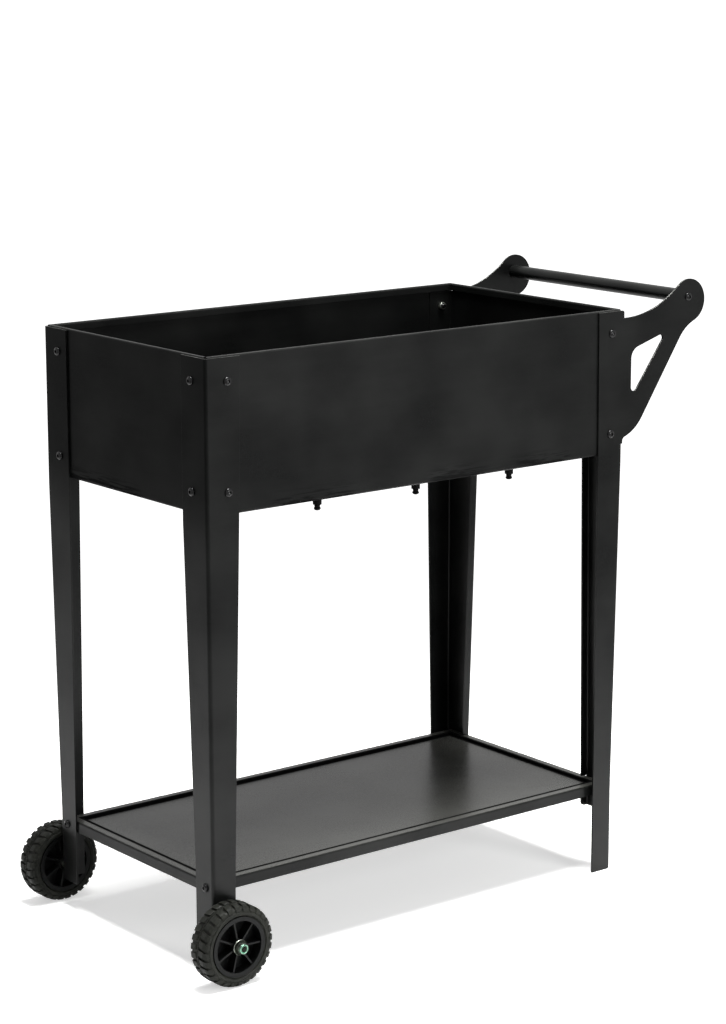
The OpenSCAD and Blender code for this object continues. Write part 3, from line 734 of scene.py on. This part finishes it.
hubLook = {
    "color": (0.0030, 0.0033, 0.0033),
    "scuffColor": (0.07, 0.072, 0.068),
    "scuffs": 0.14,
    "dustAmount": 0.03,
    "roughness": (0.30, 0.44),
    "shine": 0.10,
    "grain": {"Pebble Scale": 1700.0, "Wave Scale": 160.0, "Wave Share": 0.4},
    "edges": {"Break Scale": 200.0, "Reach": 0.0007},
    "dust": {"Patch Scale": 35.0, "Fleck Scale": 600.0, "Upward": 0.3},
    "rings": {"Centre": wheelCentre, "Ring Pitch": 0.0016},
    "ringHeight": 0.8,
    "bump": (0.3, 0.0001, 0.0005),
}


def makePlastic(look, name):
    material, tree, skin, place = startMaterial(name)
    grain = useGroup(tree, grainGroup, place, look["grain"])
    edges = useGroup(tree, edgeGroup, place, look["edges"])
    dust = useGroup(tree, dustGroup, place, look["dust"])
    base = mixColor(tree, times(tree, edges["Mask"], look["scuffs"]), look["color"], look["scuffColor"])
    base = mixColor(tree, times(tree, dust["Mask"], look["dustAmount"]), base, look["scuffColor"])
    link(tree, base, skin.inputs["Base Color"])
    speckledRoughness(tree, skin, grain, look)
    skin.inputs["Specular IOR Level"].default_value = look["shine"]
    height = grain["Height"]
    if "rings" in look:
        rings = useGroup(tree, wheelGroup, place, look["rings"])
        height = plus(tree, height, times(tree, rings["Rings"], look["ringHeight"]))
    addBump(tree, skin, height, look)
    return material


rubberLook = {
    "color": (0.0070, 0.0076, 0.0062),
    "dustColor": (0.095, 0.096, 0.078),
    "dustAmount": 0.12,
    "grooveDust": 0.02,
    "roughness": (0.42, 0.64),
    "shine": 0.10,
    "grain": {"Pebble Scale": 1200.0, "Wave Scale": 140.0, "Wave Share": 0.6},
    "edges": {"Break Scale": 120.0, "Reach": 0.0012},
    "dust": {"Patch Scale": 60.0, "Fleck Scale": 420.0, "Upward": 0.25},
    "rings": {"Centre": wheelCentre},
    "ringHeight": 0.6,
    "bump": (0.4, 0.00015, 0.0006),
}


def makeRubber(look):
    material, tree, skin, place = startMaterial("tyreRubber")
    grain = useGroup(tree, grainGroup, place, look["grain"])
    edges = useGroup(tree, edgeGroup, place, look["edges"])
    dust = useGroup(tree, dustGroup, place, look["dust"])
    rings = useGroup(tree, wheelGroup, place, look["rings"])
    base = mixColor(tree, times(tree, dust["Mask"], look["dustAmount"]), look["color"], look["dustColor"])
    base = mixColor(tree, times(tree, edges["Mask"], look["dustAmount"]), base, look["dustColor"])
    base = mixColor(tree, times(tree, rings["Groove"], look["grooveDust"]), base, look["dustColor"])
    link(tree, base, skin.inputs["Base Color"])
    speckledRoughness(tree, skin, grain, look)
    skin.inputs["Specular IOR Level"].default_value = look["shine"]
    addBump(tree, skin, plus(tree, grain["Height"], times(tree, rings["Rings"], look["ringHeight"])), look)
    return material


sealLook = {
    "color": (0.010, 0.010, 0.010),
    "bloomColor": (0.05, 0.05, 0.048),
    "bloom": {"Scale": 120.0, "Detail": 4.0, "Low": 0.40, "High": 0.75},
    "bloomAmount": 0.5,
    "roughness": (0.6, 0.8),
    "grain": {"Pebble Scale": 1600.0, "Wave Scale": 300.0, "Wave Share": 0.5},
    "bump": (0.3, 0.0001, 0.0004),
}


def makeSeal(look):
    material, tree, skin, place = startMaterial("sealRubber")
    grain = useGroup(tree, grainGroup, place, look["grain"])
    bloom = times(tree, useGroup(tree, stainGroup, place, look["bloom"])["Mask"], look["bloomAmount"])
    link(tree, mixColor(tree, bloom, look["color"], look["bloomColor"]), skin.inputs["Base Color"])
    speckledRoughness(tree, skin, grain, look)
    addBump(tree, skin, grain["Height"], look)
    return material


nylonLook = {
    "color": (0.020, 0.17, 0.085),
    "paleColor": (0.06, 0.30, 0.17),
    "roughness": (0.35, 0.5),
    "grain": {"Pebble Scale": 2500.0, "Wave Scale": 500.0, "Wave Share": 0.5},
    "edges": {"Break Scale": 500.0, "Reach": 0.0003},
    "bump": (0.2, 0.00005, 0.0002),
}


def makeNylon(look):
    material, tree, skin, place = startMaterial("greenNylon")
    grain = useGroup(tree, grainGroup, place, look["grain"])
    edges = useGroup(tree, edgeGroup, place, look["edges"])
    link(tree, mixColor(tree, edges["Mask"], look["color"], look["paleColor"]), skin.inputs["Base Color"])
    speckledRoughness(tree, skin, grain, look)
    addBump(tree, skin, grain["Height"], look)
    return material


coat = makeCoat(coatLook, "blackPowderCoat")
legCoat = makeCoat(legLook, "legPowderCoat")
panelCoat = makeCoat(panelLook, "panelPowderCoat")
shelfCoat = makeCoat(shelfLook, "shelfPowderCoat")
screwBlack = makeScrewBlack(screwLook)
zinc = makeZinc(zincLook, "zincPlate")
zincWithPaintedReflections = makeZinc(zincPaintedReflectionLook, "zincPlatePaintedReflections")
collarZinc = makeZinc(collarLook, "greenZincPlate")
plastic = makePlastic(plasticLook, "mouldedBlackPlastic")
hubPlastic = makePlastic(hubLook, "hubPlastic")
finishOf = {
    "black_powder_coat": coat,
    "black_bolts": screwBlack,
    "zinc_plate": zinc,
    "black_plastic": plastic,
    "tyre_rubber": makeRubber(rubberLook),
    "seal_rubber": makeSeal(sealLook),
    "green_nylon": makeNylon(nylonLook),
}
print("materials ready")

ownFinish = {
    "hub_front": hubPlastic,
    "hub_back": hubPlastic,
    "panel_front": panelCoat,
    "panel_back": panelCoat,
    "panel_wheel_end": panelCoat,
    "panel_handle_end": panelCoat,
    "leg_front_wheel": legCoat,
    "leg_back_wheel": legCoat,
    "leg_front_handle": legCoat,
    "leg_back_handle": legCoat,
    "shelf": shelfCoat,
    "axle_bolts": zincWithPaintedReflections,
}


def dressNodes():
    for part in frame["record"]["subparts"]:
        shown = nodes[part["node"]]
        shown.data.materials.clear()
        shown.data.materials.append(ownFinish.get(part["node"], finishOf[part["material_slot"]]))


dressNodes()
print("nodes dressed")

troughMiddle = Vector((-0.057, 0.0, 0.5))
weldReach = 0.000002         # corners closer than this are one
boxDigits = 4                # solids are put in order by tenths of a millimetre


def solidBoxes(name):
    # the box of each separate solid in a node
    bm = bmesh.new()
    bm.from_mesh(nodes[name].data)
    bmesh.ops.remove_doubles(bm, verts=bm.verts, dist=weldReach)
    left = set(bm.verts)
    boxes = []
    while left:
        pile = [left.pop()]
        found = list(pile)
        while pile:
            for edge in pile.pop().link_edges:
                for vert in edge.verts:
                    if vert in left:
                        left.remove(vert)
                        pile.append(vert)
                        found.append(vert)
        low = Vector([min(v.co[i] for v in found) for i in range(3)])
        high = Vector([max(v.co[i] for v in found) for i in range(3)])
        boxes.append((low, high))
    bm.free()
    return sorted(boxes, key=lambda b: tuple(round(c, boxDigits) for c in b[0]))


def seats(node, pick, turns=(0.0, 0.0)):
    # for each solid of a node, lying along its longest (max) or shortest (min) side:
    # where its outer end sits, with +Z away from the middle of the trough, and its length
    for i, (low, high) in enumerate(solidBoxes(node)):
        sizes = high - low
        axis = pick(range(3), key=lambda k: sizes[k])
        middle = (low + high) / 2
        outwards = 1 if (middle - troughMiddle)[axis] > 0 else -1
        middle[axis] = high[axis] if outwards > 0 else low[axis]
        way = Vector((0, 0, 0))
        way[axis] = outwards
        spin = way.to_track_quat("Z", "Y").to_matrix().to_4x4()
        first, step = turns
        yield Matrix.Translation(middle) @ spin @ Matrix.Rotation(first + i * step, 4, "Z"), sizes[axis]


def deeper(placed, depth):
    return placed @ Matrix.Translation((0, 0, -depth))


def plain(radius, height):
    return lambda angle: (radius, height)


def hexRadius(angle, flat):
    part = (angle + math.pi / 6) % (math.pi / 3) - math.pi / 6
    return flat / math.cos(part)


def hexRing(flat, height):
    return lambda angle: (hexRadius(angle, flat), height)


def addRings(bm, rings, sides, placed, loop=False):
    # each ring is a function of an angle that gives a radius and a height
    rows = []
    for ring in rings:
        row = []
        for i in range(sides):
            angle = 2 * math.pi * i / sides
            radius, height = ring(angle)
            place = Vector((radius * math.cos(angle), radius * math.sin(angle), height))
            row.append(bm.verts.new(placed @ place))
        rows.append(row)
    pairs = list(zip(rows, rows[1:]))
    if loop:
        pairs.append((rows[-1], rows[0]))
    for a, b in pairs:
        for i in range(sides):
            j = (i + 1) % sides
            bm.faces.new((a[i], b[i], b[j], a[j]))
    if not loop:
        bm.faces.new(rows[0])
        bm.faces.new(list(reversed(rows[-1])))


def finishPiece(bm, name, finish, body, replaced, smoothBelow):
    bmesh.ops.recalc_face_normals(bm, faces=bm.faces)
    mesh = bpy.data.meshes.new(name)
    bm.to_mesh(mesh)
    bm.free()
    mesh.materials.append(finish)
    mesh.shade_smooth()
    mesh.set_sharp_from_angle(angle=math.radians(smoothBelow))
    piece = bpy.data.objects.new(name, mesh)
    scene.collection.objects.link(piece)
    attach(piece, body)
    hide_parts(*replaced)
    return piece


screwShape = {
    "headRadius": 0.0058,
    "headHeight": 0.0034,
    "rimHeight": 0.0006,
    "rimEdge": 0.0001,
    "domeStart": 60,         # degrees
    "domeSteps": 8,
    "socketFlat": 0.0020,
    "socketDepth": 0.0020,
    "socketFoot": (0.98, 0.0001),      # a little narrower at its very bottom
    "socketMouth": (1.22, 0.00002),    # and rounded at its mouth, just below the top of the dome
    "mouthDepth": 0.0003,
    "drillRadius": 0.0003,   # the point of the drill at the bottom of the socket
    "drillDepth": 0.0006,
    "shankRadius": 0.00295,
    "pitch": 0.001,
    "threadDepth": 0.00045,
    "threadSteps": 4,        # rings for each pitch
    "threadGaps": (2, 1),    # steps left out under the head and before the tip
    "tipTaper": 0.0006,
    "sides": 36,
    "turns": (0.0, 0.77),    # radians, the first and the step to the next
    "smoothBelow": 35,
}


def threadRing(shape, depth):
    # one turn of the screw per pitch
    def ring(angle):
        turn = (angle / (2 * math.pi) + depth / shape["pitch"]) % 1.0
        return shape["shankRadius"] - shape["threadDepth"] * abs(2 * turn - 1), -depth
    return ring


def addScrew(bm, shape, length, placed):
    # rings from the bottom of the socket over the domed head and down the thread
    top, flat, edge = shape["headHeight"], shape["socketFlat"], shape["rimEdge"]
    head, rim, shank = shape["headRadius"], shape["rimHeight"], shape["shankRadius"]
    floor = top - shape["socketDepth"]
    foot, footHeight = shape["socketFoot"]
    mouth, mouthGap = shape["socketMouth"]
    rings = [plain(shape["drillRadius"], floor - shape["drillDepth"]), hexRing(flat * foot, floor),
        hexRing(flat, floor + footHeight), hexRing(flat, top - shape["mouthDepth"]),
        plain(flat * mouth, top - mouthGap)]
    for step in range(shape["domeSteps"] + 1):
        a = math.radians(shape["domeStart"] * (1 - step / shape["domeSteps"]))
        rise = (top - rim) * math.sin(a) / math.sin(math.radians(shape["domeStart"]))
        rings.append(plain(head * math.cos(a), rim + rise))
    rings += [plain(head, edge), plain(head - edge, 0.0), plain(shank, 0.0)]
    pace = shape["pitch"] / shape["threadSteps"]
    headGap, tipGap = shape["threadGaps"]
    for step in range(headGap, int(length / pace) - tipGap):
        rings.append(threadRing(shape, step * pace))
    rings.append(plain(shank - shape["tipTaper"], -length))
    addRings(bm, rings, shape["sides"], placed)


def makeScrews(name, node, shape):
    bm = bmesh.new()
    head = shape["headHeight"]
    for placed, length in seats(node, max, shape["turns"]):
        addScrew(bm, shape, length - head, deeper(placed, head))
    finishPiece(bm, name, screwBlack, "frame", [node], shape["smoothBelow"])


makeScrews("handleScrews", "handle_bolts", screwShape)
makeScrews("troughScrews", "trough_bolts", screwShape)
makeScrews("shelfScrews", "shelf_bolts", screwShape)
print("screws made")

nutShape = {
    "flat": 0.0050,          # half the width over two flat sides
    "cornerRadius": 0.00552,
    "chamferStart": 0.99,    # against the flat, where the corners start to slope
    "chamferAngle": 30,
    "faceShare": 0.97,
    "boreRadius": 0.00305,
    "boreChamfer": (0.0004, 0.0005),     # wider and deeper
    "height": 0.0048,
    "sides": 36,
    "turns": (0.3, 1.13),
    "smoothBelow": 25,
}


def chamferRing(shape, level, way):
    # the corners slope up from a lower face (way 1) or down from an upper one (way -1)
    slope = math.tan(math.radians(shape["chamferAngle"]))

    def ring(angle):
        radius = min(hexRadius(angle, shape["flat"]), shape["cornerRadius"])
        return radius, level + way * max(0.0, radius - shape["flat"] * shape["chamferStart"]) * slope
    return ring


def addNut(bm, shape, placed):
    bore, height, face = shape["boreRadius"], shape["height"], shape["flat"] * shape["faceShare"]
    wider, deep = shape["boreChamfer"]
    rings = [plain(bore, deep), plain(bore + wider, 0.0), plain(face, 0.0), chamferRing(shape, 0.0, 1),
        chamferRing(shape, height, -1), plain(face, height), plain(bore + wider, height),
        plain(bore, height - deep)]
    addRings(bm, rings, shape["sides"], placed, True)


def makeNuts(name, node, shape):
    bm = bmesh.new()
    for placed, length in seats(node, min, shape["turns"]):
        addNut(bm, shape, deeper(placed, length))
    finishPiece(bm, name, zinc, "frame", [node], shape["smoothBelow"])


makeNuts("troughNuts", "trough_nuts", nutShape)
makeNuts("shelfNuts", "shelf_nuts", nutShape)
print("nuts made")

axleNutShape = {
    "flat": 0.0065,
    "cornerRadius": 0.0073,
    "chamferStart": 0.99,
    "chamferAngle": 30,
    "faceShare": 0.97,
    "topShare": 0.985,
    "boreRadius": 0.0041,
    "boreChamfer": (0.0004, 0.0004),
    "height": 0.0056,
    "collarRadius": 0.00625,
    "collarWall": 0.0012,
    "collarTop": 0.00779,
    "collarFoot": 0.0002,
    "collarSteps": 6,        # over the rolled top
    "seatDepth": 0.0006,
    "sides": 48,
    "turns": (0.35, 0.5),
    "smoothBelow": 30,
}


def addAxleNut(bm, shape, placed):
    # a hexagon nut with a thin round collar rolled over its top
    bore, height, flat = shape["boreRadius"], shape["height"], shape["flat"]
    wider, deep = shape["boreChamfer"]
    outer, half = shape["collarRadius"], shape["collarWall"] / 2
    seat = height - shape["seatDepth"]
    rings = [plain(bore, deep), plain(bore + wider, 0.0), plain(flat * shape["faceShare"], 0.0),
        chamferRing(shape, 0.0, 1), chamferRing(shape, height, -1), plain(flat * shape["topShare"], height),
        plain(outer, height + shape["collarFoot"])]
    for step in range(shape["collarSteps"] + 1):
        a = math.pi * step / shape["collarSteps"]
        across, up = half * math.cos(a), half * math.sin(a)
        rings.append(plain(outer - half + across, shape["collarTop"] - half + up))
    rings += [plain(outer - half * 2, seat), plain(bore, seat)]
    addRings(bm, rings, shape["sides"], placed, True)


def makeAxleNuts(shape):
    bm = bmesh.new()
    inner = [deeper(placed, length) for placed, length in seats("axle_nuts", min, shape["turns"])]
    for placed in inner:
        addAxleNut(bm, shape, placed)
    piece = finishPiece(bm, "axleNuts", zincWithPaintedReflections, "frame", ["axle_nuts"],
        shape["smoothBelow"])
    piece.data.materials.append(collarZinc)
    # the collar has its own finish from the upper face of the hexagon outwards
    collarStart = abs(inner[0].translation.y) + shape["height"] + shape["collarFoot"] / 4
    for face in piece.data.polygons:
        if abs(face.center.y) > collarStart:
            face.material_index = 1


makeAxleNuts(axleNutShape)

washerShape = {
    "boreRadius": 0.0041,
    "boreEdge": 0.0002,
    "radius": 0.0102,
    "thickness": 0.0015,
    "edgeRadius": 0.0006,
    "edgeSteps": 4,          # for each rounded edge
    "sides": 48,
    "smoothBelow": 40,
}


def makeAxleWashers(shape):
    bm = bmesh.new()
    edge, thick = shape["edgeRadius"], shape["thickness"]
    bore, small, middle = shape["boreRadius"], shape["boreEdge"], shape["radius"] - edge
    rings = [plain(bore, small), plain(bore + small, 0.0)]
    for level, start in ((edge, -90), (thick - edge, 0)):
        for step in range(shape["edgeSteps"] + 1):
            a = math.radians(start + 90 * step / shape["edgeSteps"])
            rings.append(plain(middle + edge * math.cos(a), level + edge * math.sin(a)))
    rings += [plain(bore + small, thick), plain(bore, thick - small)]
    for placed, length in seats("axle_washers", min):
        addRings(bm, rings, shape["sides"], deeper(placed, length), True)
    finishPiece(bm, "axleWashers", zincWithPaintedReflections, "frame", ["axle_washers"], shape["smoothBelow"])


makeAxleWashers(washerShape)
print("axle nuts and washers made")

capShape = {
    # radius and height below the top of the stem, millimetres
    "profile": [(2.2, 0), (2.9, 0.35), (3.15, 1.0), (3.15, 7.8), (3.5, 8.0), (3.8, 8.3), (3.8, 10.1),
                (3.55, 10.55), (3.15, 10.8), (3.15, 11.1), (3.9, 11.35), (4.45, 11.8), (4.6, 12.4),
                (4.5, 13.1), (4.15, 13.9), (3.5, 14.6), (2.5, 15.1), (1.2, 15.3)],
    "sides": 32,
    "smoothBelow": 50,
}


def makeDrainCap(number, shape):
    node = "drain_cap_%d" % number
    low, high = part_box(node)
    middle = (low + high) / 2
    bm = bmesh.new()
    rings = [plain(r / 1000, high.z - middle.z - down / 1000) for r, down in shape["profile"]]
    addRings(bm, rings, shape["sides"], Matrix.Translation(middle))
    finishPiece(bm, "drainCap%d" % number, plastic, "cap_%d" % number, [node],
        shape["smoothBelow"])


for number in (1, 2, 3):
    makeDrainCap(number, capShape)
print("drain caps made")
